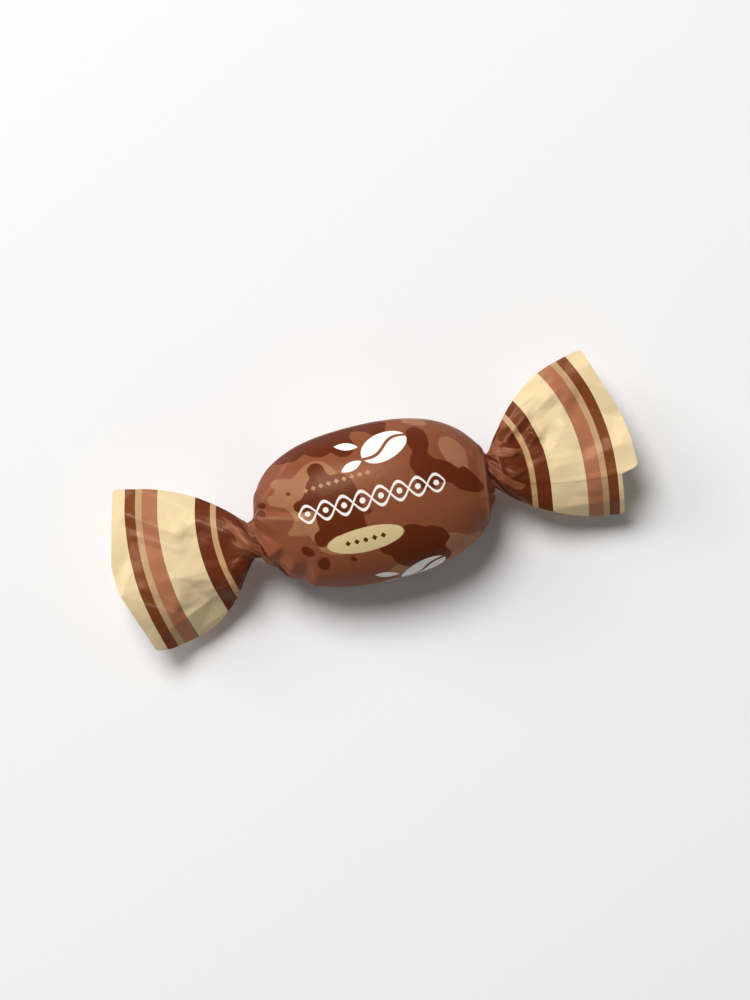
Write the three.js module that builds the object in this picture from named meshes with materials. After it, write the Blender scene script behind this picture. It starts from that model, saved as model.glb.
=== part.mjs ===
// A twist-wrapped caramel: an oval candy inside one sheet of printed film, shut by a twist at each end
// beyond which the film spreads into a flattened, pleated fan with an open cut edge.
//
// Millimetres. The candy lies on its belly. The origin is the middle of the flat spot under the belly,
// +X runs along the line from the left twist to the right twist and +Z is up.
// The film round the hidden candy is one solid, and each fan is a flattened tube of two walls.

import * as THREE from "three";

// ---- Driving dimensions ----

const COLUMNS = 60; // vertices round the film
const BODY_ROWS = 28;
const FAN_ROWS = 16;
const MOUTH_ROWS = 6;
const FAN_ROW_CROWDING = 1.3; // power that crowds a fan's rows towards the twist

const DEGREE = Math.PI / 180;

const BODY = {
  halfLength: 16.9,
  halfWidth: 11.1,
  halfHeight: 8.0,
  outlineSquareness: 2.43, // superellipse exponent seen from above
  sectionSquareness: 2.2, // superellipse exponent of a slice across the candy
  yaw: -3.3 * DEGREE, // the candy sits a little askew between its twists
  bellyFlattening: 0.15, // how far the underside is pressed flat
};

const TWIST = {
  halfWidth: 2.4,
  halfHeight: 2.2,
  axisY: -0.3, // the twists' common line, to the side of the candy's middle
  turn: 150 * DEGREE, // from the candy to the fan
  turnReachOnBody: 2.2, // how fast the turning dies out, in width gained
  turnReachOnFan: 1.4,
  foldDepth: 0.5,
  foldReachOnBody: 3.4,
  folds: 12,
  deepFolds: 5,
  deepFoldDepth: 0.3,
  deepFoldReachOnBody: 6,
  fadeOnFan: 0.8, // fold depth on a fan against the candy's end
  shoulder: 0.3, // how much wider than the twist the candy's end is
  slideFrom: 0.5, // share of the candy's width below which its slices slide over to the twists' line
};

const BODY_MIDDLE_HEIGHT = BODY.halfHeight - BODY.bellyFlattening;
const TWIST_HEIGHT = BODY_MIDDLE_HEIGHT - 0.1;

const FILM = {
  wall: 0.45, // each fan wall
  edgeInset: 1.5, // from a fan's folded side to the end of the slit inside it
  mouthDepth: 0.6, // share of the fan's reach that the slit runs in from the cut edge
};

const CREASE_ENDS = 1.0; // distance over which a crease fades at each end
const FALL_ENDS = 2.5;

const PRESSED = {
  from: 0.42, // share of the reach by which the round twist has become a flat tube
  halfGap: 1.3, // from the fan's middle surface to the outside of each wall, where it is flattest
  mouthHalfGap: 1.8, // the same at the cut edge
  evenness: 0.6, // how evenly the film spreads across the fan, against a plain circle seen edge-on
  crownGrowth: 1.15, // power of the reach by which the crown grows to its full height
};

// A fan is described by the share across it: -1 is its low side edge, 1 its high side edge.
// flare: how the side edges leave the twist, width = twist + spread * (1 - exp(-reach / bend)) ** start.
// cutEdge: [share across, reach from the twist]. crown: [share across, height at the cut edge].
// foldPhase shifts the folds round the film, so that the two twists differ.
// creases: ridges, or valleys where the height is negative, along a run seen from above. A flank is the width
// of the sloping strip to the left or right of the run.
// falls: runs to the right of which the fan falls away at a slope.
const FANS = {
  left: {
    direction: -1,
    twistX: -17.72,
    foldPhase: 0.6,
    lowFlare: { spread: 9.5, bend: 3.9, start: 1.7 },
    highFlare: { spread: 11.7, bend: 9.4, start: 1 },
    cutEdge: [[-1, 15.2], [-0.95, 17.2], [-0.12, 19.9], [0.15, 19.8], [0.98, 16.95], [1, 16.5]],
    crown: [[-1, -1.1], [-0.84, -0.5], [-0.55, 0.3], [-0.2, 0.7], [0.2, 0.2], [0.56, -0.2], [1, -0.6]],
    creases: [
      { from: [-34.0, 8.4], to: [-27.2, 3.0], height: 0.55, leftFlank: 3.5, rightFlank: 1.6 },
      { from: [-38.0, -2.4], to: [-30.1, -7.4], height: 0.7, leftFlank: 5.0, rightFlank: 4.5 },
      { from: [-29.5, -7.4], to: [-23.2, -6.6], height: -0.9, leftFlank: 3.8, rightFlank: 2.4 },
    ],
    falls: [{ from: [-33.0, -9.6], to: [-22.2, -5.4], slope: 1.1 }],
  },
  right: {
    direction: 1,
    twistX: 17.08,
    foldPhase: 2.4,
    lowFlare: { spread: 10.1, bend: 8.6, start: 1 },
    highFlare: { spread: 11.3, bend: 5.6, start: 1.3 },
    cutEdge: [
      [-1, 15.8], [-0.97, 16.6], [-0.48, 17.4], [-0.44, 19.4], [-0.4, 19.9],
      [-0.04, 20.0], [0.23, 19.6], [0.65, 18.0], [0.97, 16.9], [1, 16.3],
    ],
    crown: [[-1, -2.1], [-0.86, -1.0], [-0.62, 0.2], [-0.45, 0.8], [0.24, -0.4], [0.62, -0.2], [1, 0.1]],
    creases: [
      { from: [30.6, 5.9], to: [36.6, 1.6], height: -0.75, leftFlank: 3.2, rightFlank: 3.2 },
    ],
    falls: [{ from: [25.0, -7.9], to: [34.5, -9.4], slope: 0.6 }],
  },
};

// ---- Small mathematics ----

const mix = (a, b, share) => a + (b - a) * share;

const signedPower = (value, power) => Math.sign(value) * Math.abs(value) ** power;

// Straight-line interpolation through [[x, y], ...], where x rises.
function along(points, x) {
  const next = points.findIndex(([at]) => at >= x);
  if (next <= 0) return next === 0 ? points[0][1] : points.at(-1)[1];
  const [x0, y0] = points[next - 1];
  const [x1, y1] = points[next];
  return mix(y0, y1, (x - x0) / (x1 - x0));
}

// Sharp folds of uneven width round the film: 1 on a ridge, -1 in a valley.
function folds(angle, count, phase) {
  const uneven = 0.2 * Math.sin(2 * angle + phase) + 0.16 * Math.sin(3 * angle + 2.3 * phase);
  const turns = (angle * count) / (2 * Math.PI) + uneven;
  return 4 * Math.abs(turns - Math.floor(turns) - 0.5) - 1;
}

// ---- The film's shape ----

// Fold relief at one place of the film, in mm, fading with the width gained from the twist.
function foldRelief(angle, gained, phase) {
  const fine = TWIST.foldDepth * Math.exp(-gained / TWIST.foldReachOnBody);
  const deep = TWIST.deepFoldDepth * Math.exp(-gained / TWIST.deepFoldReachOnBody);
  return fine * folds(angle, TWIST.folds, phase) + deep * folds(angle, TWIST.deepFolds, phase + 1);
}

// A point of the film over the candy. station runs from 0 at the left end to 1 at the right end.
function bodyPoint(angle, station) {
  const smallest = (TWIST.halfWidth + TWIST.shoulder) / BODY.halfWidth;
  const endAngle = Math.asin(smallest ** (BODY.outlineSquareness / 2));
  const sweep = mix(Math.PI - endAngle, endAngle, station);
  const x = BODY.halfLength * signedPower(Math.cos(sweep), 2 / BODY.outlineSquareness);
  const size = Math.sin(sweep) ** (2 / BODY.outlineSquareness);

  const gained = size * BODY.halfWidth - TWIST.halfWidth;
  const turned = 0.5 * TWIST.turn * Math.exp(-gained / TWIST.turnReachOnBody);
  const seen = angle + Math.sign(x) * turned;
  const nearer = x < 0 ? FANS.left : FANS.right;
  const relief = foldRelief(angle, gained, nearer.foldPhase);
  const swell = 1 + relief / (size * BODY.halfWidth);
  const across = signedPower(Math.cos(seen), 2 / BODY.sectionSquareness);
  const upward = signedPower(Math.sin(seen), 2 / BODY.sectionSquareness);

  const slide = THREE.MathUtils.smoothstep(TWIST.slideFrom - size, 0, TWIST.slideFrom - smallest);
  const sideways = BODY.halfWidth * size * swell * across;
  const middleY = mix(Math.sin(BODY.yaw) * x, TWIST.axisY, slide);
  return new THREE.Vector3(
    x * Math.cos(BODY.yaw) - sideways * Math.sin(BODY.yaw),
    middleY + sideways * Math.cos(BODY.yaw),
    Math.max(BODY.halfHeight * size * swell * upward + BODY_MIDDLE_HEIGHT, 0),
  );
}

// How far a place seen from above lies to the right of a run, and a window that is 1 along the run and
// fades to 0 past its ends.
function besideRun(x, y, { from, to }, ends) {
  const run = new THREE.Vector2(to[0] - from[0], to[1] - from[1]);
  const place = new THREE.Vector2(x - from[0], y - from[1]);
  const length = run.length();
  const progress = place.dot(run) / length;
  const started = THREE.MathUtils.smoothstep(progress, -ends, ends);
  const ended = THREE.MathUtils.smoothstep(length - progress, -ends, ends);
  return { toRight: place.cross(run) / length, window: started * ended };
}

// Height of a fan's creases and falls at a place seen from above.
function creaseHeight(fan, x, y) {
  let height = 0;
  for (const crease of fan.creases) {
    const { toRight, window } = besideRun(x, y, crease, CREASE_ENDS);
    const flank = toRight < 0 ? crease.leftFlank : crease.rightFlank;
    height += crease.height * window * Math.max(1 - Math.abs(toRight) / flank, 0);
  }
  for (const fall of fan.falls) {
    const { toRight, window } = besideRun(x, y, fall, FALL_ENDS);
    height -= fall.slope * window * Math.max(toRight, 0);
  }
  return height;
}

// A point of a fan. reachShare is 0 at the twist and 1 at the cut edge.
// inner is true for the skin inside the film, which faces the slit.
function fanPoint(fan, angle, reachShare, inner) {
  const typicalReach = reachShare * along(fan.cutEdge, 0);
  const untwisted = 1 - 0.5 * Math.exp(-typicalReach / TWIST.turnReachOnFan);
  const seen = angle + fan.direction * TWIST.turn * untwisted;
  const opened = THREE.MathUtils.smoothstep(reachShare, 0, PRESSED.from);

  // Share across the fan: a round tube's near the twist, an evenly spread flat tube's further out.
  const turn = THREE.MathUtils.euclideanModulo(seen, 2 * Math.PI) / Math.PI;
  const even = turn < 1 ? 1 - 2 * turn : 2 * turn - 3;
  const outerAcross = mix(Math.cos(seen), even, PRESSED.evenness * opened);
  const { spread, bend, start } = outerAcross < 0 ? fan.lowFlare : fan.highFlare;
  const widthAt = (reach) => TWIST.halfWidth + spread * (1 - Math.exp(-reach / bend)) ** start;
  const outerReach = reachShare * along(fan.cutEdge, outerAcross);
  const across = inner ? outerAcross * (1 - FILM.edgeInset / widthAt(outerReach)) : outerAcross;
  const reach = reachShare * along(fan.cutEdge, across);

  const relief = foldRelief(angle, reach * TWIST.fadeOnFan, fan.foldPhase);
  const y = across * (widthAt(reach) + (1 - opened) * relief);
  const flattest = mix(TWIST.halfHeight, PRESSED.halfGap, opened);
  const halfGap = mix(flattest, PRESSED.mouthHalfGap, reachShare ** 2);
  const x = fan.twistX + fan.direction * reach;
  const crown = along(fan.crown, across) * reachShare ** PRESSED.crownGrowth;
  const middle = TWIST_HEIGHT + crown + creaseHeight(fan, x, TWIST.axisY + y);
  const fromMiddle = halfGap + TWIST.fadeOnFan * relief - (inner ? FILM.wall : 0);
  return new THREE.Vector3(x, TWIST.axisY + y, middle + Math.sin(seen) * fromMiddle);
}

// ---- The mesh ----

// Collects rings of vertices and joins them into one closed skin.
class Skin {
  constructor() {
    this.positions = [];
    this.triangles = [];
  }

  ring(pointAt) {
    const first = this.positions.length / 3;
    for (let column = 0; column < COLUMNS; column += 1) {
      this.positions.push(...pointAt((column / COLUMNS) * 2 * Math.PI).toArray());
    }
    return first;
  }

  quad(a, b, c, d) {
    this.triangles.push(a, b, c, a, c, d);
  }

  // Joins two rings whose columns match.
  band(from, to) {
    for (let column = 0; column < COLUMNS; column += 1) {
      const next = (column + 1) % COLUMNS;
      this.quad(from + column, from + next, to + next, to + column);
    }
  }

  // Shuts a flattened ring by joining its upper half to its lower half. start is the column on its side edge.
  zip(ring, start, reversed) {
    const at = (steps) => ring + THREE.MathUtils.euclideanModulo(start + steps, COLUMNS);
    for (let step = 0; step < COLUMNS / 2; step += 1) {
      const corners = [at(step), at(-step), at(-step - 1), at(step + 1)];
      const kept = corners.filter((corner, index) => corners.indexOf(corner) === index);
      if (reversed) kept.reverse();
      for (let corner = 2; corner < kept.length; corner += 1) {
        this.triangles.push(kept[0], kept[corner - 1], kept[corner]);
      }
    }
  }

  geometry() {
    const geometry = new THREE.BufferGeometry();
    geometry.setAttribute("position", new THREE.Float32BufferAttribute(this.positions, 3));
    geometry.setIndex(this.triangles);
    geometry.computeVertexNormals();
    return geometry;
  }
}

// The slit inside a fan: rings from the cut edge inwards, zipped shut at its end.
function addMouth(skin, fan, rim) {
  const rings = [];
  for (let row = 0; row <= MOUTH_ROWS; row += 1) {
    const reachShare = 1 - (FILM.mouthDepth * row) / MOUTH_ROWS;
    rings.push(skin.ring((angle) => fanPoint(fan, angle, reachShare, true)));
  }
  const path = [rim, ...rings];
  const startColumn = Math.round((-fan.direction * TWIST.turn * COLUMNS) / (2 * Math.PI));
  if (fan.direction < 0) path.reverse();
  for (let row = 1; row < path.length; row += 1) skin.band(path[row - 1], path[row]);
  skin.zip(rings.at(-1), startColumn, fan.direction > 0);
}

function fanRing(skin, fan, row) {
  const reachShare = (row / FAN_ROWS) ** FAN_ROW_CROWDING;
  return skin.ring((angle) => fanPoint(fan, angle, reachShare, false));
}

function wrappedCandy() {
  const skin = new Skin();
  const rings = [];
  for (let row = FAN_ROWS; row >= 0; row -= 1) rings.push(fanRing(skin, FANS.left, row));
  for (let row = 0; row <= BODY_ROWS; row += 1) {
    rings.push(skin.ring((angle) => bodyPoint(angle, row / BODY_ROWS)));
  }
  for (let row = 0; row <= FAN_ROWS; row += 1) rings.push(fanRing(skin, FANS.right, row));
  for (let row = 1; row < rings.length; row += 1) skin.band(rings[row - 1], rings[row]);
  addMouth(skin, FANS.left, rings[0]);
  addMouth(skin, FANS.right, rings.at(-1));
  return skin.geometry();
}

const film = new THREE.MeshStandardMaterial({ color: 0x83502f, roughness: 0.4, metalness: 0 });
const wrapper = new THREE.Mesh(wrappedCandy(), film);
wrapper.name = "wrapped_candy";

const candy = new THREE.Group();
candy.add(wrapper);

export default candy;
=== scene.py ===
"""A twist-wrapped caramel: one printed sheet of film round an oval candy, twisted at both ends into fans.

The film is one closed mesh that follows the sheet. A row of it runs round the candy from the sheet's inner
edge to its outer edge, and the rows go from one fan's cut edge over the candy to the other fan's cut edge.
Lengths are millimetres until the mesh is made, in the frame's axes: the belly rests on z = 0, +X runs
from the left twist to the right twist and +Y is across.
"""

import math

import bpy
import numpy as np
from mathutils import Matrix, Vector


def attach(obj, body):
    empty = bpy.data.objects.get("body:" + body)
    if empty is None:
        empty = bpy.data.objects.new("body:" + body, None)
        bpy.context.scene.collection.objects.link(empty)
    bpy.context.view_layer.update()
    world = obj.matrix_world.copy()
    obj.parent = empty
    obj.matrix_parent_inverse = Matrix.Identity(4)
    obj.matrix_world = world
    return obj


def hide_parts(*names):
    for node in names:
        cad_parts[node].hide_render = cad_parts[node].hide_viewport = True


MM = 0.001

# ---- The candy, its twists and its fans: the driving dimensions of the CAD solid ----

BODY = {
    "half_length": 16.9,
    "half_width": 11.1,
    "half_height": 8.0,
    "outline": 2.43,  # superellipse exponent seen from above
    "section": 2.2,  # superellipse exponent of a slice across the candy
    "yaw": math.radians(-3.3),
    "middle_height": 7.85,
}
TWIST = {
    "half_width": 2.4,
    "half_height": 2.2,
    "axis_y": -0.3,
    "height": 7.75,
    "turn": math.radians(150),  # from the candy to the fan
    "candy_share": 0.5,  # share of the turn that is over the candy's end; the rest is on the fan
    "turn_reach_body": 2.2,  # how fast the turning dies out, in width gained
    "turn_reach_fan": 1.6,  # the same, in distance from the twist
    "shoulder": 0.3,  # how much wider than the twist the candy's end is
    "slide_from": 0.5,  # share of the candy's width below which its slices slide to the twists' line
}
PRESSED = {
    "from": 0.42,  # share of a fan's reach by which the round twist has become a flat tube
    "half_gap": 1.3,  # from the fan's middle to either layer
    "mouth_half_gap": 1.8,  # the same at the cut edge
    "evenness": 0.8,  # how evenly the film is spread across, rather than as seen round a circle
    "growth": 1.15,  # power of the reach by which the crown grows
}

# Reach is the distance from the twist along X.
# Points of a table are (share across the fan, value); -1 is the low side edge and 1 the high one.
# A flare is (spread, bend, start): a side edge moves out by spread * (1 - exp(-reach / bend)) ** start.
# A crown is the height above the twist that the fan's middle comes to at the cut edge.
# print_start is the length of film that is gathered up beside the twist.
# print_stretch is the length of film to 1 mm of reach where stripes run straight across the fan.
# print_bowing (at the low side, at the high side) is 0 for such straight stripes and 1 for stripes that
# stay evenly far from the twist along the film.
LEFT_FAN = {
    "direction": -1,
    "twist_x": -17.72,
    "low_flare": (9.5, 3.9, 1.7),
    "high_flare": (11.7, 9.4, 1.0),
    "cut_edge": [(-1, 15.2), (-0.95, 17.2), (-0.12, 19.9), (0.15, 19.8), (0.98, 16.95), (1, 16.5)],
    "crown": [(-1, -1.1), (-0.84, -0.5), (-0.55, 0.3), (-0.2, 0.7), (0.2, 0.2), (0.56, -0.2), (1, -0.6)],
    "print_start": 0.75,
    "print_stretch": 0.97,
    "print_bowing": (0.45, 0.60),
}
RIGHT_FAN = {
    "direction": 1,
    "twist_x": 17.08,
    "low_flare": (10.1, 8.6, 1.0),
    "high_flare": (11.3, 5.6, 1.3),
    "cut_edge": [(-1, 15.8), (-0.97, 16.6), (-0.48, 17.4), (-0.04, 17.6), (0.97, 16.9), (1, 16.3)],
    "crown": [(-1, -2.1), (-0.86, -1.0), (-0.62, 0.2), (-0.45, 0.8), (0.24, -0.4), (0.62, -0.2), (1, 0.1)],
    # The sheet's outer edge, which lies on top, is cut longer than the edge under it.
    "outer_cut_edge": [
        (-0.484, 17.4), (-0.44, 19.4), (-0.40, 19.9), (-0.04, 20.0),
        (0.23, 19.6), (0.65, 18.0), (0.97, 16.9), (1, 16.3),
    ],
    "print_start": 0.0,
    "print_stretch": 1.06,
    "print_bowing": (0.45, 0.85),
}
FAN_REACH = 18.0  # of a typical column, which sets how fast the twist unwinds along a fan
GATHERED_REACH = 3.0  # from the twist, where the fan takes in the start of its print

# ---- The sheet of film and its mesh ----

LAP_ANGLE = math.radians(-20)  # where the sheet's edges overlap, round the candy's slice
LAP_STEP = 0.05  # how far the outer edge stands off the film under it
LAP_WIDTH = 0.11  # share of the sheet's girth that lies double
FILM_THICKNESS = 0.12
HALF_BODY_LENGTH = 21.0  # along the film, from the sheet's middle line to a twist

COLUMNS = 250
BODY_ROWS = 165
FAN_ROWS = 76
ROW_CROWDING = 1.12  # power that crowds a fan's rows towards the twist
INSIDE_STEP = 2  # rows of a fan's outside to one row of its inside
INSIDE_DEPTH = 54  # rows of a fan that its open end shows from inside
INSIDE_LIMIT = 0.85  # most of the way to a fan's middle that its inside may stand off its outside
SHARP_ANGLE = math.radians(75)  # between two faces, past which their edge is shaded sharp
FLOOR_CLEARANCE = 0.02  # of the film
SLICE_STEPS = 4000  # steps in which the girth of the candy's slice is measured
LENGTH_STEPS = 40  # steps in which a length along a fan is measured

# ---- Pleats that run out from a twist ----

# A kind of pleat: count, and the ranges of its length, height and width.
ROPE = (15, (1.2, 2.6), (0.20, 0.38), (0.7, 1.1))
BODY_PLEATS = (15, (2.5, 8.0), (0.12, 0.40), (0.9, 2.0))
FAN_PLEATS = (14, (3.0, 7.0), (0.18, 0.42), (0.9, 2.0))
LONG_FAN_PLEATS = (6, (10.0, 20.0), (0.08, 0.18), (1.4, 2.8))
PLEAT_SCATTER = 0.38  # share of the space between two pleats by which one may leave its even place
PLEAT_DRIFT = 0.004  # share of the girth by which a pleat may drift sideways in each mm
PLEAT_FADE = 1.6  # power of the fade towards a pleat's end
PLEAT_SHARPNESS = 1.35
PLEAT_HIGHLIGHT = 1.5  # strength of the painted highlight along a pleat's crest for each mm of its height

# ---- Creases, dents and folds between places seen from above ----

# A crease: (start x, y), (end x, y), height, (flank on the left of the run, flank on its right).
# Height is negative for a valley; a flank is the width of the sloping strip beside the crease.
FAN_CREASES = [
    # left
    ((-34.0, 8.4), (-27.2, 3.0), 0.55, (3.5, 1.6)),
    ((-27.2, 3.0), (-24.5, 4.7), 0.40, (1.8, 1.6)),
    ((-24.5, 4.7), (-20.6, 1.6), 0.45, (1.6, 2.4)),
    ((-38.0, -2.4), (-30.1, -7.4), 0.70, (5.0, 4.5)),
    # right
    ((20.2, 3.3), (24.2, 6.1), 0.40, (1.0, 0.9)),
    ((24.9, 5.7), (28.4, 7.6), 0.25, (1.6, 1.2)),
    ((25.0, 0.7), (26.3, 3.2), -0.45, (0.9, 1.4)),
    ((30.6, 5.9), (36.6, 1.6), -0.75, (3.2, 3.2)),
    ((19.1, -1.9), (21.4, -1.4), 0.35, (1.4, 0.6)),
    ((18.3, -2.8), (18.5, 0.9), 0.30, (0.6, 0.6)),
]
BODY_CREASES = [
    ((-17.0, 2.8), (-9.4, 0.2), 0.45, (0.9, 2.4)),
    ((-14.9, 4.2), (-9.6, 8.6), 0.35, (1.8, 2.4)),
    ((-15.6, -4.2), (-10.6, -9.2), 0.25, (2.2, 1.6)),
    ((14.6, -6.6), (16.1, 1.6), 0.45, (0.8, 0.8)),
    ((16.2, -5.6), (16.9, -0.6), 0.40, (0.6, 0.6)),
]
# Folds that draw in the candy's low side and show in its outline.
BODY_SIDE_CREASES = [
    ((-13.9, -3.4), (-16.8, -6.6), -0.55, (1.8, 1.1)),
    ((-11.2, -5.6), (-13.4, -9.9), -0.65, (1.8, 1.8)),
]
CREASE_ENDS = 1.0  # mm over which a crease fades at each end
CREASE_HIGHLIGHT = 2.0  # strength of the painted highlight along a crease's crest for each mm of its height
CREST_WIDTH = 0.16  # of the painted highlight line along a crease or pleat

# Small creases that run roughly away from the twists.
RANDOM_CREASES = {
    "count": 26,  # on the film's upper side, and as many on its under side
    "twist_x": 17.4,  # midway between the two twists' distances from the candy's middle
    "from_twist": (1.5, 17.0),
    "share_on_fans": 0.7,
    "candy_share": 0.45,  # of that distance, for a crease on the candy
    "widest": 10.0,  # half the width that they spread over far from the twist
    "fan_bend": 7.0,  # how far from the twist that width is mostly reached, on the fans
    "candy_bend": 3.0,  # the same on the candy
    "heading_scatter": 0.55,
    "half_length": (1.2, 3.6),
    "height": (0.08, 0.28),
    "flank": (0.8, 2.4),
}

# A dent: peak (x, y), height, corners of its base in anticlockwise order seen from above.
# Height is negative for a hollow.
BODY_DENTS = [
    ((-15.4, -2.8), 0.7, [(-13.6, -2.4), (-16.9, 1.1), (-17.4, -1.8), (-15.2, -4.4)]),
]
FAN_DENTS = [
    # left
    ((-25.4, -7.0), -1.6, [(-21.8, -8.2), (-23.2, -4.6), (-28.9, -2.6), (-30.3, -7.2), (-28.6, -10.6)]),
    ((-19.7, -4.2), 0.7, [(-19.0, -5.2), (-18.6, -2.6), (-20.4, -2.1), (-22.6, -2.7), (-21.4, -4.9)]),
    # right
    ((21.0, 1.2), 0.7, [(22.3, 1.3), (20.7, 3.4), (18.9, 3.6), (19.1, 1.0), (20.6, 0.5)]),
    ((24.5, 2.6), 0.6, [(25.4, 2.0), (24.4, 6.0), (22.2, 5.2), (23.0, 1.2)]),
]

# A fold: (start x, y), (end x, y), slope at which the fan falls away on the right of the run.
FAN_FOLDS = [
    ((-33.0, -9.6), (-22.2, -5.4), 1.1),
    ((25.0, -7.9), (34.5, -9.4), 0.6),
]
FOLD_ENDS = 2.5  # mm over which a fold fades at each end

# ---- Crumpled facets, and what limits the relief ----

# A kind of facet: size, height, and how far from the twist it reaches.
FAN_FACETS = (4.6, 0.32, 40.0)
SMALL_FAN_FACETS = (2.3, 0.12, 11.0)
BODY_FACETS = (3.2, 0.30, 7.0)
FACET_BEND = 0.12  # how unevenly the facets are spaced, as a share of their size
FACET_WAVES = (0.45, 0.6, 0.4, 0.55)  # facets to a radian of the waves that space them unevenly
LATTICE_SIZE = 64  # corners after which the lattice of facets repeats

FULL_GIRTH = 44.0  # girth of the film at which pleats and facets have their full height
SIDE_FADE = 0.3  # sine of the angle over which the creases of one side fade out where the sides meet
LAYER_PRESS = 0.5  # share of the gap to the fan's middle that relief may take from a layer
EDGE_RELIEF = 0.35  # share of the relief's height that is left at a fan's folded side edges
EDGE_RELIEF_POWER = 0.7  # by which it grows away from them

RELIEF_SEEDS = ((-1, 260), (1, 20))  # direction and seed of each twist's pleats and facets
UPPER_CREASE_SEED = 31
UNDER_CREASE_SEED = 32

# ---- The print and the finish ----


def srgb(red, green, blue):
    """Linear colour of an sRGB one."""
    values = []
    for value in (red, green, blue):
        share = value / 255
        values.append(share / 12.92 if share <= 0.04045 else ((share + 0.055) / 1.055) ** 2.4)
    return (*values, 1)


BASE = srgb(137, 78, 51)
LIGHT_PATCH = srgb(162, 110, 77)
DARK_PATCH = srgb(98, 42, 19)
WHITE = srgb(250, 244, 236)
TAN = srgb(182, 136, 100)
BADGE = srgb(222, 200, 148)
FILM_REVERSE = srgb(228, 220, 202)
# A pale pink painted highlight, laid along the crests of creases and pleats.
CREST_HIGHLIGHT = srgb(222, 178, 148)
GLOSS_TINT = srgb(196, 160, 132)

# Length along the film from the twist to where each stripe begins, and its colour.
STRIPES = [
    (0.0, BASE),
    (5.1, srgb(194, 156, 112)),
    (5.9, srgb(106, 49, 25)),
    (7.95, srgb(232, 209, 163)),
    (13.0, srgb(174, 113, 80)),
    (15.2, srgb(194, 158, 116)),
    (16.1, srgb(122, 66, 34)),
    (17.5, srgb(232, 209, 163)),
]
STRIPES_SPAN = 25.0  # of the colour ramp that holds them

MM_PER_UV = 100
PRINT_TURN = 2.4  # degrees by which the motifs' rows are turned on the sheet
PRINT_PERIOD = 20.5  # the print repeats three times round the candy

# Splashes: size of a drop, size of a pool, and a drop's usual radius to its size.
PALE_SPLASHES = (6.5, 14.0, 0.20)
DARK_SPLASHES = (3.6, 9.5, 0.34)
SPLASH_SMOOTHNESS = 0.35  # how softly two drops run together
SPLASH_SWELL = 3.2  # how strongly a drop's size follows the pools
PALE_REACH = 15.0  # along the film from the sheet's middle line, where the paler splashes end
PALE_END = 0.2  # drops to each mm past that, which sets how soft their end is
DARK_GROWS_FROM = 18.0  # along the film from the sheet's middle line
DARK_GROWTH = 0.05  # how much the darker drops grow in each mm past that

# Motifs, placed by (along, across) from the middle of a repeat.
BRAID = {
    "middle": (0.0, 0.7),
    "half_length": 11.0,
    "period": 5.5,
    "swing": 1.3,
    "half_strand": 0.23,
    "bead": 0.42,
}
BEAN = {"middle": (3.6, 7.6), "lean": 22, "half_length": 3.5, "half_width": 2.2}
GROOVE = {"swing": 0.55, "half_width": 0.24}
LEAVES = {"root": (3.6, 7.0), "leans": (14, -22), "from_root": 5.3, "half_width": 0.65, "taper": 0.24}
LOZENGE_ROW = {"middle": (-4.2, 4.3), "count": 9, "spacing": 1.15, "size": 0.38}
OVAL = {"middle": (-2.4, -4.7), "half_length": 5.6, "half_width": 1.75}
OVAL_ROW = {"middle": OVAL["middle"], "count": 5, "spacing": 1.3, "size": 0.42}

# The film's gloss, and how fast it falls off where the film turns away from the view.
GLOSS = 0.36
GLOSS_FALL = 1.5
LEAST_GLOSS = 0.02
ROUGHNESS, ROUGHNESS_RANGE = 0.22, 0.16  # the least, and how much patches may add
CREST_HIGHLIGHT_SHARE = 0.22  # how far a crest's colour goes towards the pale painted highlight
CRINKLE_STRENGTH = 0.2
CRINKLE_DEPTH = 0.15 * MM
REVERSE_PALENESS, REVERSE_PALENESS_RANGE = 0.65, 0.1  # how little of the print shows through

# ---- The picture ----

IMAGE_WIDTH = 750
IMAGE_HEIGHT = 1000
MM_PER_PIXEL = 0.14
LEFT_TWIST_PIXEL = Vector((252, 540))
RIGHT_TWIST_PIXEL = Vector((491, 471))
LENS = 120
SENSOR = 36

# A light: place in metres (to the picture's right, up it, above it), size, power.
LIGHTS = {
    "key": ((-0.34, 0.58, 1.05), 0.60, 12.9),
    "sheen": ((-1.00, 0.56, 0.68), 0.72, 5.0),
}
AMBIENT = 0.14
HALF_FLOOR = 1.5  # metres


# ---- Small mathematics ----


def smoothstep(value, low, high):
    share = np.clip((value - low) / (high - low), 0, 1)
    return share * share * (3 - 2 * share)


def signed_power(value, power):
    return np.sign(value) * np.abs(value) ** power


def mix(first, second, share):
    return first + (second - first) * share


def table(points, value):
    places, heights = zip(*points)
    return np.interp(value, places, heights)


def beside_run(x, y, start, end, ends):
    """Distance to the right of a run seen from above, and a window that is 1 along it and 0 past its ends."""
    run = np.subtract(end, start)
    length = math.hypot(*run)
    progress = ((x - start[0]) * run[0] + (y - start[1]) * run[1]) / length
    to_right = ((x - start[0]) * run[1] - (y - start[1]) * run[0]) / length
    return to_right, smoothstep(progress, -ends, ends) * smoothstep(length - progress, -ends, ends)


def crease_shape(x, y, start, end, height, flanks):
    """Height of a crease, and the strength of the painted highlight along its crest."""
    to_right, window = beside_run(x, y, start, end, CREASE_ENDS)
    flank = np.where(to_right < 0, *flanks)
    rise = height * window * np.clip(1 - np.abs(to_right) / flank, 0, None)
    # A ridge's crest gets a painted highlight; a valley's gets none.
    crest = window * np.exp(-np.abs(to_right) / CREST_WIDTH) * np.clip(CREASE_HIGHLIGHT * height, 0, 1)
    return rise, crest


def pyramid(x, y, peak, corners):
    """Height of a pyramid seen from above: 1 at its peak, 0 at its convex base's edges and outside them."""
    height = np.ones_like(x)
    for start, end in zip(corners, corners[1:] + corners[:1]):
        run_x, run_y = np.subtract(end, start)
        within = (y - start[1]) * run_x - (x - start[0]) * run_y
        peak_within = (peak[1] - start[1]) * run_x - (peak[0] - start[0]) * run_y
        height = np.minimum(height, within / peak_within)
    return np.clip(height, 0, None)


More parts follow.
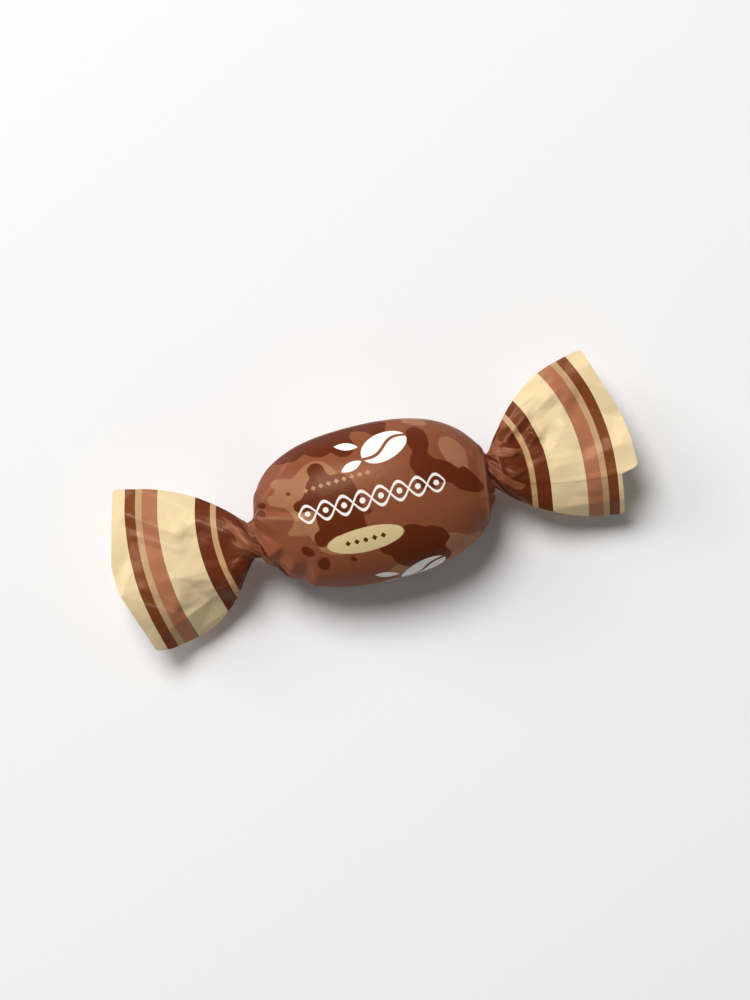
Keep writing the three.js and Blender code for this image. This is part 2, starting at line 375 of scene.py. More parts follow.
def lattice_facets(u, v, draw):
    """Heights from -1 to 1 at the corners of a triangular lattice, with flat triangles between them."""
    s, t = u - v / math.sqrt(3), 2 * v / math.sqrt(3)
    column, row = np.floor(s).astype(int), np.floor(t).astype(int)
    s, t = s - column, t - row
    corners = draw.uniform(-1, 1, (LATTICE_SIZE, LATTICE_SIZE))

    def corner(right, up):
        return corners[(column + right) % LATTICE_SIZE, (row + up) % LATTICE_SIZE]

    near = corner(0, 0) + s * (corner(1, 0) - corner(0, 0)) + t * (corner(0, 1) - corner(0, 0))
    far = corner(1, 1) + (1 - s) * (corner(0, 1) - corner(1, 1)) + (1 - t) * (corner(1, 0) - corner(1, 1))
    return np.where(s + t < 1, near, far)


# ---- The film's smooth shape ----

# A film is a dict of arrays of rows by columns. points is where it is, and middle is the middle of a fan
# between its two layers. along is the length from the sheet's middle line, as the print shows it, and around
# the place across the sheet from the candy's top. seen is the angle round the slice after the twists, and
# crest the strength of the painted highlight along creases and pleats, from 0 to 1.


def film_columns():
    """Each column's angle round the candy and its place across the sheet, counted from the candy's top."""
    angle = np.linspace(LAP_ANGLE, LAP_ANGLE + 2 * math.pi, SLICE_STEPS + 1)
    y = BODY["half_width"] * signed_power(np.cos(angle), 2 / BODY["section"])
    z = BODY["half_height"] * signed_power(np.sin(angle), 2 / BODY["section"])
    length = np.concatenate([[0], np.cumsum(np.hypot(np.diff(y), np.diff(z)))])
    wanted = np.linspace(0, length[-1], COLUMNS + 1)
    top = np.interp(math.pi / 2, angle, length)
    return np.interp(wanted, length, angle)[None, :], (top - wanted)[None, :]


def body_slices():
    """Each slice's place on the candy's axis, its size as a share of the middle slice's, and its slide.

    The slide is 0 for a slice on the candy's own line and 1 for one on the twists' line.
    """
    station = np.linspace(0, 1, BODY_ROWS + 1)[:, None]
    smallest = (TWIST["half_width"] + TWIST["shoulder"]) / BODY["half_width"]
    end_angle = math.asin(smallest ** (BODY["outline"] / 2))
    sweep = mix(math.pi - end_angle, end_angle, station)
    x = BODY["half_length"] * signed_power(np.cos(sweep), 2 / BODY["outline"])
    size = np.sin(sweep) ** (2 / BODY["outline"])
    slide = smoothstep(TWIST["slide_from"] - size, 0, TWIST["slide_from"] - smallest)
    return x, size, slide


def body_surface(angle):
    """The film over the candy, from the left twist to the right one."""
    x, size, slide = body_slices()
    gained = size * BODY["half_width"] - TWIST["half_width"]
    twisting = np.exp(-gained / TWIST["turn_reach_body"])
    end_turn = TWIST["candy_share"] * TWIST["turn"]
    seen = angle + np.sign(x) * end_turn * (twisting - twisting.min())

    sideways = BODY["half_width"] * size * signed_power(np.cos(seen), 2 / BODY["section"])
    upwards = BODY["half_height"] * size * signed_power(np.sin(seen), 2 / BODY["section"])
    cosine, sine = math.cos(BODY["yaw"]), math.sin(BODY["yaw"])
    middle_y = mix(sine * x, TWIST["axis_y"], slide)
    points = np.stack(
        [x * cosine - sideways * sine, middle_y + sideways * cosine, upwards + BODY["middle_height"]],
        axis=-1,
    )
    steps = np.linalg.norm(np.diff(points, axis=0), axis=-1)
    path = np.concatenate([np.zeros((1, steps.shape[1])), np.cumsum(steps, axis=0)])
    along = (2 * path / path[-1] - 1) * HALF_BODY_LENGTH
    return {"points": points, "middle": points, "along": along, "seen": seen, "crest": 0 * seen}


def flared(reach, spread, bend, start):
    """How much wider than the twist a side of a fan is at a reach."""
    return spread * (1 - np.exp(-reach / bend)) ** start


def flare_slope(reach, spread, bend, start):
    """How fast that width grows with reach."""
    left = np.exp(-reach / bend)
    return spread / bend * start * left * (1 - left) ** (start - 1)


def side_width(fan, reach, across):
    """Half the fan's width at a reach, on the side that across lies on."""
    low, high = flared(reach, *fan["low_flare"]), flared(reach, *fan["high_flare"])
    return TWIST["half_width"] + np.where(across < 0, low, high)


def length_from_twist(fan, reach, across):
    """Length along the film from the twist to a reach, at a steady share across the fan."""
    steps = np.linspace(0, 1, LENGTH_STEPS)[:, None, None]
    low_slope = across * flare_slope(steps * reach, *fan["low_flare"])
    high_slope = across * flare_slope(steps * reach, *fan["high_flare"])
    slope = np.where(across < 0, low_slope, high_slope)
    return np.sqrt(1 + slope**2).mean(axis=0) * reach


def print_along(fan, reach, across):
    """Length along the sheet from its middle line to a place on a fan, as the print shows it."""
    gathered = fan["print_start"] * smoothstep(reach, 0, GATHERED_REACH)
    bowing = mix(*fan["print_bowing"], (across + 1) / 2)
    from_twist = mix(fan["print_stretch"] * reach, length_from_twist(fan, reach, across), bowing)
    return fan["direction"] * (HALF_BODY_LENGTH + gathered + from_twist)


def fan_columns(fan, angle, reach_share, opened):
    """Each column's angle round a fan after the twist, and its share across the fan."""
    turn_left = (1 - TWIST["candy_share"]) * np.exp(-reach_share * FAN_REACH / TWIST["turn_reach_fan"])
    seen = angle + fan["direction"] * TWIST["turn"] * (1 - turn_left)
    half_turns = np.mod(seen, 2 * math.pi) / math.pi
    even = np.where(half_turns < 1, 1 - 2 * half_turns, 2 * half_turns - 3)
    return seen, mix(np.cos(seen), even, PRESSED["evenness"] * opened)


def cut_reach(fan, angle, seen, across):
    """Reach of a fan's cut edge."""
    cut = table(fan["cut_edge"], across)
    if "outer_cut_edge" in fan:
        on_outer_layer = (angle > LAP_ANGLE + math.pi / 2) & (np.sin(seen) >= 0)
        cut = np.where(on_outer_layer, table(fan["outer_cut_edge"], across), cut)
    return cut


def fan_crown(fan, x, y, across, reach_share):
    """Height of a fan's middle above the twist, with its creases, dents and folds, and the strength of the
    painted highlight along their crests.
    """
    crown = table(fan["crown"], across) * reach_share ** PRESSED["growth"]
    crest = 0 * x
    for crease in FAN_CREASES:
        rise, glint = crease_shape(x, y, *crease)
        crown += rise
        crest = np.maximum(crest, glint)
    for peak, height, corners in FAN_DENTS:
        crown += height * pyramid(x, y, peak, corners)
    for start, end, slope in FAN_FOLDS:
        to_right, window = beside_run(x, y, start, end, FOLD_ENDS)
        crown -= slope * window * np.clip(to_right, 0, None)
    return crown, crest


def fan_surface(fan, angle):
    """A fan from its twist outwards: a round tube that flares and is pressed flat."""
    reach_share = np.linspace(0, 1, FAN_ROWS + 1)[:, None] ** ROW_CROWDING
    opened = smoothstep(reach_share, 0, PRESSED["from"])
    seen, across = fan_columns(fan, angle, reach_share, opened)
    reach = reach_share * cut_reach(fan, angle, seen, across)
    x = fan["twist_x"] + fan["direction"] * reach
    y = TWIST["axis_y"] + across * side_width(fan, reach, across)
    crown, crest = fan_crown(fan, x, y, across, reach_share)
    middle = np.stack([x, y, TWIST["height"] + crown], axis=-1)

    flattest = mix(TWIST["half_height"], PRESSED["half_gap"], opened)
    half_gap = mix(flattest, PRESSED["mouth_half_gap"], reach_share**2)
    apart = np.stack([0 * x, 0 * x, np.sin(seen) * half_gap], axis=-1)
    return {
        "points": middle + apart,
        "middle": middle,
        "along": print_along(fan, reach, across),
        "seen": seen,
        # Only the upper layer's creases carry the painted crest highlight.
        "crest": crest * (np.sin(seen) > 0),
    }


def whole_film():
    """The sheet from the left fan's cut edge to the right fan's."""
    angle, around = film_columns()
    left = fan_surface(LEFT_FAN, angle)
    body = body_surface(angle)
    right = fan_surface(RIGHT_FAN, angle)
    film = {key: np.concatenate([left[key][::-1], body[key], right[key]]) for key in body}
    film["around"] = np.repeat(around, len(film["points"]), axis=0)
    return film


def surface_normals(points):
    """Outward normals of a film whose first and last columns meet."""
    wide = np.concatenate([points[:, -2:-1], points, points[:, 1:2]], axis=1)
    normal = np.cross(wide[:, 2:] - wide[:, :-2], np.gradient(points, axis=0))
    return normal / np.maximum(np.linalg.norm(normal, axis=-1, keepdims=True), 1e-9)


# ---- The film's relief ----


class Relief:
    """How far the film stands off its smooth shape, and how strong the painted highlight along its crests is.
    """

    def __init__(self, film):
        self.film = film
        points = film["points"]
        self.x, self.y = points[..., 0], points[..., 1]
        self.height = np.zeros(points.shape[:2])
        self.crest = film["crest"]
        self.share = np.linspace(0, 1, COLUMNS + 1)[None, :]
        self.from_twist = np.abs(np.abs(film["along"]) - HALF_BODY_LENGTH)
        self.girth = np.linalg.norm(np.diff(points, axis=1), axis=-1).sum(axis=1)[:, None]
        self.spread = np.clip(self.girth / FULL_GIRTH, 0, 1)
        self.upward = np.sin(film["seen"])

    def on_side(self, side):
        """A mask of the film's upper side (1), its under side (-1) or both (0), soft where they meet."""
        return smoothstep(self.upward * side, 0, SIDE_FADE) if side else 1

    def add_pleats(self, seed, where, kind):
        """Sharp-crested pleats of uneven length that run out from a twist."""
        count, lengths, heights, widths = kind
        draw = np.random.default_rng(seed)
        for index in range(count):
            place = (index + draw.uniform(-PLEAT_SCATTER, PLEAT_SCATTER)) / count
            drift = draw.uniform(-PLEAT_DRIFT, PLEAT_DRIFT)
            length, height, width = (draw.uniform(*span) for span in (lengths, heights, widths))
            offset = self.share - place - drift * self.from_twist
            offset = (offset - np.round(offset)) * self.girth / width
            fade = np.exp(-((self.from_twist / length) ** PLEAT_FADE)) * where
            profile = np.clip(1 - np.abs(offset), 0, None) ** PLEAT_SHARPNESS
            mean = 2 * width / ((1 + PLEAT_SHARPNESS) * self.girth)
            self.height += height * fade * (profile - mean)
            # A painted highlight along the pleat's crest.
            crest = PLEAT_HIGHLIGHT * height * fade * np.exp(-np.abs(offset) * width / CREST_WIDTH)
            self.crest = np.maximum(self.crest, crest)

    def add_crease(self, crease, side):
        rise, crest = crease_shape(self.x, self.y, *crease)
        mask = self.on_side(side)
        self.height += rise * mask
        self.crest = np.maximum(self.crest, crest * mask)

    def add_random_creases(self, seed, side):
        kind = RANDOM_CREASES
        draw = np.random.default_rng(seed)
        for _ in range(kind["count"]):
            direction = draw.choice([-1, 1])
            from_twist = draw.uniform(*kind["from_twist"])
            on_fan = draw.uniform() < kind["share_on_fans"]
            outwards = from_twist if on_fan else -kind["candy_share"] * from_twist
            x = direction * (kind["twist_x"] + outwards)
            bend = kind["fan_bend"] if on_fan else kind["candy_bend"]
            widest = kind["widest"] * (1 - math.exp(-from_twist / bend))
            y = draw.uniform(-1, 1) * widest
            heading = math.atan2(y, abs(x) - kind["twist_x"]) + draw.normal(0, kind["heading_scatter"])
            half_length = draw.uniform(*kind["half_length"])
            run_x, run_y = direction * math.cos(heading) * half_length, math.sin(heading) * half_length
            height = draw.uniform(*kind["height"]) * draw.choice([-1, 1, 1])
            flanks = draw.uniform(*kind["flank"], 2)
            self.add_crease(((x - run_x, y - run_y), (x + run_x, y + run_y), height, flanks), side)

    def add_dent(self, dent):
        peak, height, corners = dent
        self.height += height * pyramid(self.x, self.y, peak, corners) * self.on_side(1)

    def add_facets(self, seed, where, kind):
        """Flat three-cornered facets of crumpled film."""
        cell, height, fade = kind
        draw = np.random.default_rng(seed)
        u, v = self.film["along"] / cell, self.film["around"] / cell
        waves = zip((v, u, u, v), FACET_WAVES, draw.uniform(0, 2 * math.pi, 4))
        bends = [FACET_BEND * np.sin(place / length + start) for place, length, start in waves]
        facets = lattice_facets(u + bends[0] + bends[1], v + bends[2] + bends[3], draw)
        from_lap = np.minimum(self.share, 1 - self.share)
        strength = self.spread * smoothstep(from_lap, 0, LAP_WIDTH / 2) * where
        self.height += height * strength * np.exp(-((self.from_twist / fade) ** 2)) * facets

    def add_lap(self):
        self.height += LAP_STEP * smoothstep(self.share, 1 - LAP_WIDTH, 1)

    def keep_layers_apart(self, normals):
        """Limits how far a fan's two layers are pressed towards each other."""
        on_fan = np.abs(self.film["along"]) > HALF_BODY_LENGTH
        half_gap = np.abs(((self.film["points"] - self.film["middle"]) * normals).sum(axis=-1))
        self.height = np.maximum(self.height, np.where(on_fan, -LAYER_PRESS * half_gap, -math.inf))


def add_wrinkles(film):
    """Adds pleats, facets, creases, dents and the lap to the film's smooth shape."""
    relief = Relief(film)
    over_candy = np.abs(film["along"]) < HALF_BODY_LENGTH
    for direction, seed in RELIEF_SEEDS:
        here = np.sign(film["along"]) == direction
        on_candy, on_fan = here & over_candy, here & ~over_candy
        relief.add_pleats(seed + 1, here, ROPE)
        relief.add_pleats(seed + 2, relief.spread * on_candy, BODY_PLEATS)
        relief.add_pleats(seed + 3, relief.spread * on_fan, FAN_PLEATS)
        relief.add_pleats(seed + 4, relief.spread * on_fan, LONG_FAN_PLEATS)
        relief.add_facets(seed + 5, on_fan, FAN_FACETS)
        relief.add_facets(seed + 6, on_fan, SMALL_FAN_FACETS)
        relief.add_facets(seed + 7, on_candy, BODY_FACETS)
    for crease in BODY_CREASES:
        relief.add_crease(crease, side=1)
    for crease in BODY_SIDE_CREASES:
        relief.add_crease(crease, side=0)
    for dent in BODY_DENTS:
        relief.add_dent(dent)
    relief.add_random_creases(UPPER_CREASE_SEED, side=1)
    relief.add_random_creases(UNDER_CREASE_SEED, side=-1)
    relief.add_lap()

    normals = surface_normals(film["points"])
    relief.keep_layers_apart(normals)
    by_edge = mix(EDGE_RELIEF, 1, np.abs(relief.upward) ** EDGE_RELIEF_POWER)
    height = relief.height * np.where(over_candy, 1, by_edge)
    points = film["points"] + normals * height[..., None]
    points[..., 2] = np.maximum(points[..., 2], FLOOR_CLEARANCE)
    film["points"] = points
    film["crest"] = np.clip(relief.crest, 0, 1)


# ---- The mesh ----


class FilmMesh:
    """Collects rings of vertices, joins them into one closed skin and makes the Blender mesh."""

    OUTSIDE, INSIDE = 0, 1  # material slots

    def __init__(self, film):
        self.film = film
        self.ring_size = film["points"].shape[1]
        self.points, self.uv, self.crest = [], [], []
        self.quads, self.caps = [], []
        self.outside_faces = 0

    def add_ring(self, row, points):
        first = len(self.points) * self.ring_size
        self.points.append(points)
        self.uv.append(np.stack([self.film["around"][row], self.film["along"][row]], axis=-1))
        self.crest.append(self.film["crest"][row])
        return first

    def join(self, first, second):
        column = np.arange(self.ring_size)
        after = (column + 1) % self.ring_size
        self.quads.append(np.stack([first + column, first + after, second + after, second + column], axis=-1))

    def add_outside(self):
        rings = [self.add_ring(row, points) for row, points in enumerate(self.film["points"])]
        for first, second in zip(rings, rings[1:]):
            self.join(first, second)
        self.outside_faces = len(self.quads) * self.ring_size
        return rings

    def add_inside(self, rim_row, inwards, rim_ring):
        """The fan's inner skin, from its cut edge inwards; inwards is the step from row to row."""
        previous = rim_ring
        for step in range(0, INSIDE_DEPTH + 1, INSIDE_STEP):
            row = rim_row + inwards * step
            outer = self.film["points"][row]
            toward_middle = self.film["middle"][row] - outer
            gap = np.linalg.norm(toward_middle, axis=-1, keepdims=True)
            share = np.minimum(INSIDE_LIMIT, FILM_THICKNESS / np.maximum(gap, 1e-6))
            ring = self.add_ring(row, outer + toward_middle * share)
            if inwards > 0:
                self.join(ring, previous)
            else:
                self.join(previous, ring)
            previous = ring
        self.shut(previous, int(np.argmax(outer[:, 1])), reverse=inwards < 0)

    def shut(self, ring, side_column, reverse):
        """Joins a flattened ring's upper half to its lower half."""
        for step in range(self.ring_size // 2):
            columns = [side_column + step, side_column - step, side_column - step - 1, side_column + step + 1]
            corners = list(dict.fromkeys(ring + column % self.ring_size for column in columns))
            self.caps.append(corners[::-1] if reverse else corners)

    def corner_uv(self, corners):
        """A face between the sheet's two edges takes its print from the outer edge alone."""
        uv = np.concatenate(self.uv)[corners] / MM_PER_UV
        quad_corners = sum(len(quads) for quads in self.quads) * 4
        columns = corners[:quad_corners].reshape(-1, 4) % self.ring_size
        across_lap = (columns[:, 0] == self.ring_size - 1) & (columns[:, 1] == 0)
        # Corners 1 and 2 of such a face are on the sheet's inner edge.
        inner_corners = np.nonzero(across_lap)[0][:, None] * 4 + np.array([1, 2])
        uv[inner_corners.ravel(), 0] = self.film["around"][0, -1] / MM_PER_UV
        return uv

    def make(self, name):
        faces = np.concatenate(self.quads).tolist() + self.caps
        mesh = bpy.data.meshes.new(name)
        mesh.from_pydata((np.concatenate(self.points) * MM).tolist(), [], faces)
        uv = self.corner_uv(np.array([corner for face in faces for corner in face]))
        mesh.uv_layers.new(name="print").data.foreach_set("uv", uv.astype(np.float32).ravel())
        # The crest attribute carries the strength of the painted highlight along creases and pleats.
        crest = mesh.attributes.new("crest", "FLOAT", "POINT")
        crest.data.foreach_set("value", np.concatenate(self.crest).astype(np.float32))
        slots = np.full(len(faces), self.INSIDE, np.int32)
        slots[: self.outside_faces] = self.OUTSIDE
        mesh.polygons.foreach_set("material_index", slots)
        mesh.polygons.foreach_set("use_smooth", np.ones(len(faces), bool))
        mesh.set_sharp_from_angle(angle=SHARP_ANGLE)
        return mesh


def add_object(name, data):
    thing = bpy.data.objects.new(name, data)
    bpy.context.scene.collection.objects.link(thing)
    return thing


def make_film():
    film = whole_film()
    add_wrinkles(film)
    builder = FilmMesh(film)
    rings = builder.add_outside()
    builder.add_inside(0, 1, rings[0])
    builder.add_inside(len(rings) - 1, -1, rings[-1])
    mesh = builder.make("film_wrapper")
    mesh.materials.append(printed_film())
    mesh.materials.append(film_reverse())
    piece = add_object("film_wrapper", mesh)
    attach(piece, "root")
    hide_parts("wrapped_candy")


# ---- Drawing with nodes ----


class Wire:
    """A number in a node tree. Arithmetic on it adds Math nodes."""

    def __init__(self, tree, socket):
        self.tree = tree
        self.socket = socket

    def math(self, operation, *others, clamp=False):
        node = self.tree.nodes.new("ShaderNodeMath")
        node.operation = operation
        node.use_clamp = clamp
        for index, value in enumerate((self, *others)):
            if isinstance(value, Wire):
                value.into(node.inputs[index])
            else:
                node.inputs[index].default_value = value
        return Wire(self.tree, node.outputs[0])

    def __add__(self, other):
        return self.math("ADD", other)

    def __sub__(self, other):
        return self.math("SUBTRACT", other)

    def __mul__(self, other):
        return self.math("MULTIPLY", other)

    def __truediv__(self, other):
        return self.math("DIVIDE", other)

    def __abs__(self):
        return self.math("ABSOLUTE")

    def sine(self):
        return self.math("SINE")

    def into(self, socket):
        self.tree.links.new(self.socket, socket)

    def nearer(self, other):
        """The union of two shapes given by signed distance."""
        return self.math("MINIMUM", other)

    def within(self, other):
        """Their overlap."""
        return self.math("MAXIMUM", other)

    def wrapped(self, period):
        return self.math("WRAP", period / 2, -period / 2)

    def inside(self, softness=0.08):
        """1 where a signed distance is negative, 0 outside, with a soft edge."""
        return (self * (-1 / softness)).math("ADD", 0.5, clamp=True)


def moved(p, q, place):
    """p and q counted from a place."""
    return p - place[0], q - place[1]


def turned(p, q, degrees):
    """p and q in axes turned by an angle."""
    cosine, sine = math.cos(math.radians(degrees)), math.sin(math.radians(degrees))
    return p * cosine + q * sine, q * cosine - p * sine


def ellipse(p, q, half_length, half_width):
    """Signed distance, roughly, from an ellipse."""
    radius = ((p / half_length).math("POWER", 2) + (q / half_width).math("POWER", 2)).math("SQRT")
    return (radius - 1) * half_width


def braid(p, q):
    """Two strands that cross again and again, with a bead in each loop."""
    loop = BRAID["period"] / 2
    wave = (p * (math.pi / loop)).sine() * BRAID["swing"]
    strands = (abs(q - wave) - BRAID["half_strand"]).nearer(abs(q + wave) - BRAID["half_strand"])
    beads = ellipse((p + loop / 2).wrapped(loop), q, BRAID["bead"], BRAID["bead"])
    return strands.nearer(beads).within(abs(p) - BRAID["half_length"])


def bean(p, q):
    """A coffee bean with its curved groove."""
    p, q = turned(p, q, BEAN["lean"])
    curve = (p * (math.pi / BEAN["half_length"])).sine() * GROOVE["swing"]
    groove = abs(q - curve) - GROOVE["half_width"]
    return ellipse(p, q, BEAN["half_length"], BEAN["half_width"]).within(groove * -1)


def leaf(p, q, lean):
    """A leaf, pointed at both ends, on a line that leans from its root."""
    p, q = turned(p, q, lean)
    p = p + LEAVES["from_root"]
    return abs(q) + p * p * LEAVES["taper"] - LEAVES["half_width"]


def lozenges(p, q, row):
    """A row of lozenges."""
    p, q = moved(p, q, row["middle"])
    endless = abs(p.wrapped(row["spacing"])) + abs(q) - row["size"]
    return endless.within(abs(p) - row["count"] * row["spacing"] / 2)


# ---- Materials ----


def new_material(name):
    material = bpy.data.materials.new(name)
    material.use_nodes = True
    tree = material.node_tree
    return material, tree, tree.nodes["Principled BSDF"]


def mix_colour(tree, share, first, second):
    node = tree.nodes.new("ShaderNodeMix")
    node.data_type = "RGBA"
    share.into(node.inputs["Factor"])
    # Inputs 6 and 7 and output 2 are the node's colours; the others are its numbers and vectors.
    for socket, value in ((node.inputs[6], first), (node.inputs[7], second)):
        if isinstance(value, tuple):
            socket.default_value = value
        else:
            tree.links.new(value, socket)
    return node.outputs[2]


def noise(tree, vector, scale, detail, roughness=0.5, distortion=0.0):
    node = tree.nodes.new("ShaderNodeTexNoise")
    settings = {"Scale": scale, "Detail": detail, "Roughness": roughness, "Distortion": distortion}
    for socket, value in settings.items():
        node.inputs[socket].default_value = value
    tree.links.new(vector, node.inputs["Vector"])
    return Wire(tree, node.outputs["Fac"])


def splashes(tree, vector, drop, pool, size):
    """Signed distance, in drops, from round drops that run together into pools where they are large."""
    node = tree.nodes.new("ShaderNodeTexVoronoi")
    node.feature = "SMOOTH_F1"
    node.inputs["Scale"].default_value = 1 / drop
    node.inputs["Smoothness"].default_value = SPLASH_SMOOTHNESS
    tree.links.new(vector, node.inputs["Vector"])
    radius = (noise(tree, vector, scale=1 / pool, detail=0.0) - 0.5) * SPLASH_SWELL + size
    return Wire(tree, node.outputs["Distance"]) - radius


def print_places(tree):
    """Places on the flat sheet in mm: across it, along it, and both as a vector for textures."""
    uv = tree.nodes.new("ShaderNodeUVMap")
    uv.uv_map = "print"
    split = tree.nodes.new("ShaderNodeSeparateXYZ")
    tree.links.new(uv.outputs["UV"], split.inputs[0])
    across = Wire(tree, split.outputs["X"]) * MM_PER_UV
    along = Wire(tree, split.outputs["Y"]) * MM_PER_UV
    joined = tree.nodes.new("ShaderNodeCombineXYZ")
    across.into(joined.inputs[0])
    along.into(joined.inputs[1])
    return across, along, joined.outputs[0]


def blotched_brown(tree, flat, along):
    """Brown ground splashed with darker drops and pools, and over the candy with paler ones."""
    from_middle = abs(along)
    pale = splashes(tree, flat, *PALE_SPLASHES).within((from_middle - PALE_REACH) * PALE_END)
    colour = mix_colour(tree, pale.inside(softness=0.02), BASE, LIGHT_PATCH)
    growth = (from_middle - DARK_GROWS_FROM).math("MULTIPLY", DARK_GROWTH, clamp=True)
    dark = splashes(tree, flat, *DARK_SPLASHES) - growth
    return mix_colour(tree, dark.inside(softness=0.03), colour, DARK_PATCH)


def add_motifs(tree, colour, across, along):
    """Braid, bean with leaves, row of lozenges and dotted oval, repeated round the sheet."""
    p, q = turned(along, across, PRINT_TURN)
    q = q.wrapped(PRINT_PERIOD)
    white = bean(*moved(p, q, BEAN["middle"]))
    for lean in LEAVES["leans"]:
        white = white.nearer(leaf(*moved(p, q, LEAVES["root"]), lean))
    oval = ellipse(*moved(p, q, OVAL["middle"]), OVAL["half_length"], OVAL["half_width"])

    colour = mix_colour(tree, braid(*moved(p, q, BRAID["middle"])).inside(), colour, WHITE)
    colour = mix_colour(tree, white.inside(), colour, WHITE)
    colour = mix_colour(tree, lozenges(p, q, LOZENGE_ROW).inside(), colour, TAN)
    colour = mix_colour(tree, oval.inside(), colour, BADGE)
    return mix_colour(tree, lozenges(p, q, OVAL_ROW).inside(), colour, DARK_PATCH)


def add_stripes(tree, colour, along):
    """The fans' stripes, from the second place in STRIPES on; before it the ground shows."""
    from_twist = abs(along) - HALF_BODY_LENGTH
    ramp = tree.nodes.new("ShaderNodeValToRGB")
    ramp.color_ramp.interpolation = "CONSTANT"
    elements = ramp.color_ramp.elements
    for index, (start, stripe) in enumerate(STRIPES):
        # A new ramp has two elements already.
        element = elements[index] if index < 2 else elements.new(start / STRIPES_SPAN)
        element.position = start / STRIPES_SPAN
        element.color = stripe
    (from_twist / STRIPES_SPAN).into(ramp.inputs[0])
    first_stripe = STRIPES[1][0]
    striped = (from_twist * -1 + first_stripe).inside()
    return mix_colour(tree, striped, colour, ramp.outputs[0])


def set_gloss(tree, shader):
    """Less gloss at glancing angles, so that the film's rims don't go milky."""
    glancing = tree.nodes.new("ShaderNodeLayerWeight")
    facing = Wire(tree, glancing.outputs["Facing"]) * -GLOSS_FALL + 1
    gloss = facing.math("MULTIPLY", GLOSS, clamp=True).math("MAXIMUM", LEAST_GLOSS)
    # The socket's own value is for an exported model, which drops the link.
    shader.inputs["Specular IOR Level"].default_value = GLOSS
    gloss.into(shader.inputs["Specular IOR Level"])
    shader.inputs["Specular Tint"].default_value = GLOSS_TINT


def printed_film():
    """Satin film: printed colour, crests lightened as a painted highlight, patchy gloss and faint crinkles.
    """
    material, tree, shader = new_material("printed_film")
    across, along, flat = print_places(tree)
    colour = add_motifs(tree, blotched_brown(tree, flat, along), across, along)
    colour = add_stripes(tree, colour, along)
    crest = tree.nodes.new("ShaderNodeAttribute")
    crest.attribute_name = "crest"
    # Crests are lightened towards a pale pink as a painted highlight.
    glint = Wire(tree, crest.outputs["Fac"]) * CREST_HIGHLIGHT_SHARE
    colour = mix_colour(tree, glint, colour, CREST_HIGHLIGHT)
    tree.links.new(colour, shader.inputs["Base Color"])

    patches = noise(tree, flat, scale=0.25, detail=2.0)
    (patches * ROUGHNESS_RANGE + ROUGHNESS).into(shader.inputs["Roughness"])
    set_gloss(tree, shader)

    bump = tree.nodes.new("ShaderNodeBump")
    bump.inputs["Strength"].default_value = CRINKLE_STRENGTH
    bump.inputs["Distance"].default_value = CRINKLE_DEPTH
    noise(tree, flat, scale=0.8, detail=3.0, roughness=0.55, distortion=0.6).into(bump.inputs["Height"])
    tree.links.new(bump.outputs[0], shader.inputs["Normal"])
    return material


def film_reverse():
    """The unprinted side of the film, inside the fans, with the print showing through faintly."""
    material, tree, shader = new_material("film_reverse")
    _, along, flat = print_places(tree)
    through = add_stripes(tree, blotched_brown(tree, flat, along), along)
    paleness = noise(tree, flat, scale=0.3, detail=1.0) * REVERSE_PALENESS_RANGE + REVERSE_PALENESS
    tree.links.new(mix_colour(tree, paleness, through, FILM_REVERSE), shader.inputs["Base Color"])
    shader.inputs["Roughness"].default_value = 0.5
    return material


def pale_floor():
    material, _, shader = new_material("pale_floor")
    shader.inputs["Base Color"].default_value = (0.95, 0.95, 0.95, 1)
    shader.inputs["Roughness"].default_value = 0.9
    shader.inputs["Specular IOR Level"].default_value = 0.0
    return material


# ---- Camera, light and floor ----


def picture_axes():
    """The picture's right and up directions and the way back to the camera.

    The camera looks straight down and is rolled, so that the twists lie at their pixels.
    """
    rise = RIGHT_TWIST_PIXEL - LEFT_TWIST_PIXEL
    roll = math.atan2(-rise.y, rise.x)
    right = Vector((math.cos(roll), -math.sin(roll), 0))
    up = Vector((math.sin(roll), math.cos(roll), 0))
    return right, up, Vector((0, 0, 1))


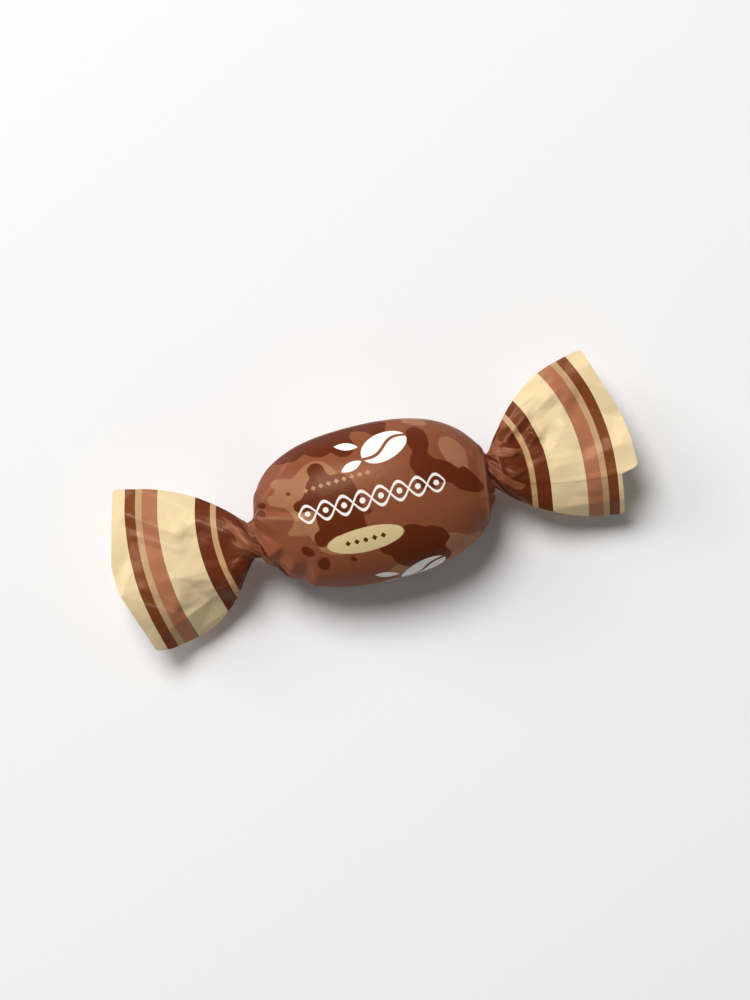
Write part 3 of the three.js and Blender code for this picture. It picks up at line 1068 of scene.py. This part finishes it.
def make_camera():
    right, up, back = picture_axes()
    middle_x = (LEFT_FAN["twist_x"] + RIGHT_FAN["twist_x"]) / 2
    middle_pixel = (LEFT_TWIST_PIXEL + RIGHT_TWIST_PIXEL) / 2
    aim = Vector((middle_x, TWIST["axis_y"], TWIST["height"]))
    aim = aim + right * (IMAGE_WIDTH / 2 - middle_pixel.x) * MM_PER_PIXEL
    aim = aim - up * (IMAGE_HEIGHT / 2 - middle_pixel.y) * MM_PER_PIXEL
    # The sensor's size is that of the picture's longer side, its height.
    away = IMAGE_HEIGHT * MM_PER_PIXEL * LENS / SENSOR
    data = bpy.data.cameras.new("camera")
    data.lens = LENS
    data.sensor_width = SENSOR
    data.clip_start = 0.01
    data.clip_end = 10
    camera = add_object("camera", data)
    turn = Matrix((right, up, back)).transposed()
    camera.matrix_world = Matrix.Translation((aim + back * away) * MM) @ turn.to_4x4()
    bpy.context.scene.camera = camera


def add_light(name, place, size, power):
    """A round soft light that shines at the candy."""
    data = bpy.data.lights.new(name, "AREA")
    data.shape = "DISK"
    data.size = size
    data.energy = power
    light = add_object(name, data)
    light.location = place
    light.rotation_euler = (-place).to_track_quat("-Z", "Y").to_euler()


def make_lighting():
    right, up, back = picture_axes()
    for name, (place, size, power) in LIGHTS.items():
        add_light(name, up * place[1] + right * place[0] + back * place[2], size, power)
    world = bpy.data.worlds.new("studio")
    world.use_nodes = True
    background = world.node_tree.nodes["Background"]
    background.inputs["Color"].default_value = (1, 1, 1, 1)
    background.inputs["Strength"].default_value = AMBIENT
    bpy.context.scene.world = world
    bpy.context.scene.view_settings.view_transform = "Standard"


def make_floor():
    corners = [(x * HALF_FLOOR, y * HALF_FLOOR, 0) for x, y in ((-1, -1), (1, -1), (1, 1), (-1, 1))]
    mesh = bpy.data.meshes.new("floor")
    mesh.from_pydata(corners, [], [(0, 1, 2, 3)])
    mesh.materials.append(pale_floor())
    add_object("floor", mesh)


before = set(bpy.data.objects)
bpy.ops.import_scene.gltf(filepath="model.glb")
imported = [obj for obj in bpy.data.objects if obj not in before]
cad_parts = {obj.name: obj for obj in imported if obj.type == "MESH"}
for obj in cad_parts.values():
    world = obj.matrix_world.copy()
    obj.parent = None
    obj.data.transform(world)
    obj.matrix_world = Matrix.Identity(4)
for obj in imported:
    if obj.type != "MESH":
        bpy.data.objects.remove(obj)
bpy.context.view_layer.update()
make_film()
make_camera()
make_lighting()
make_floor()
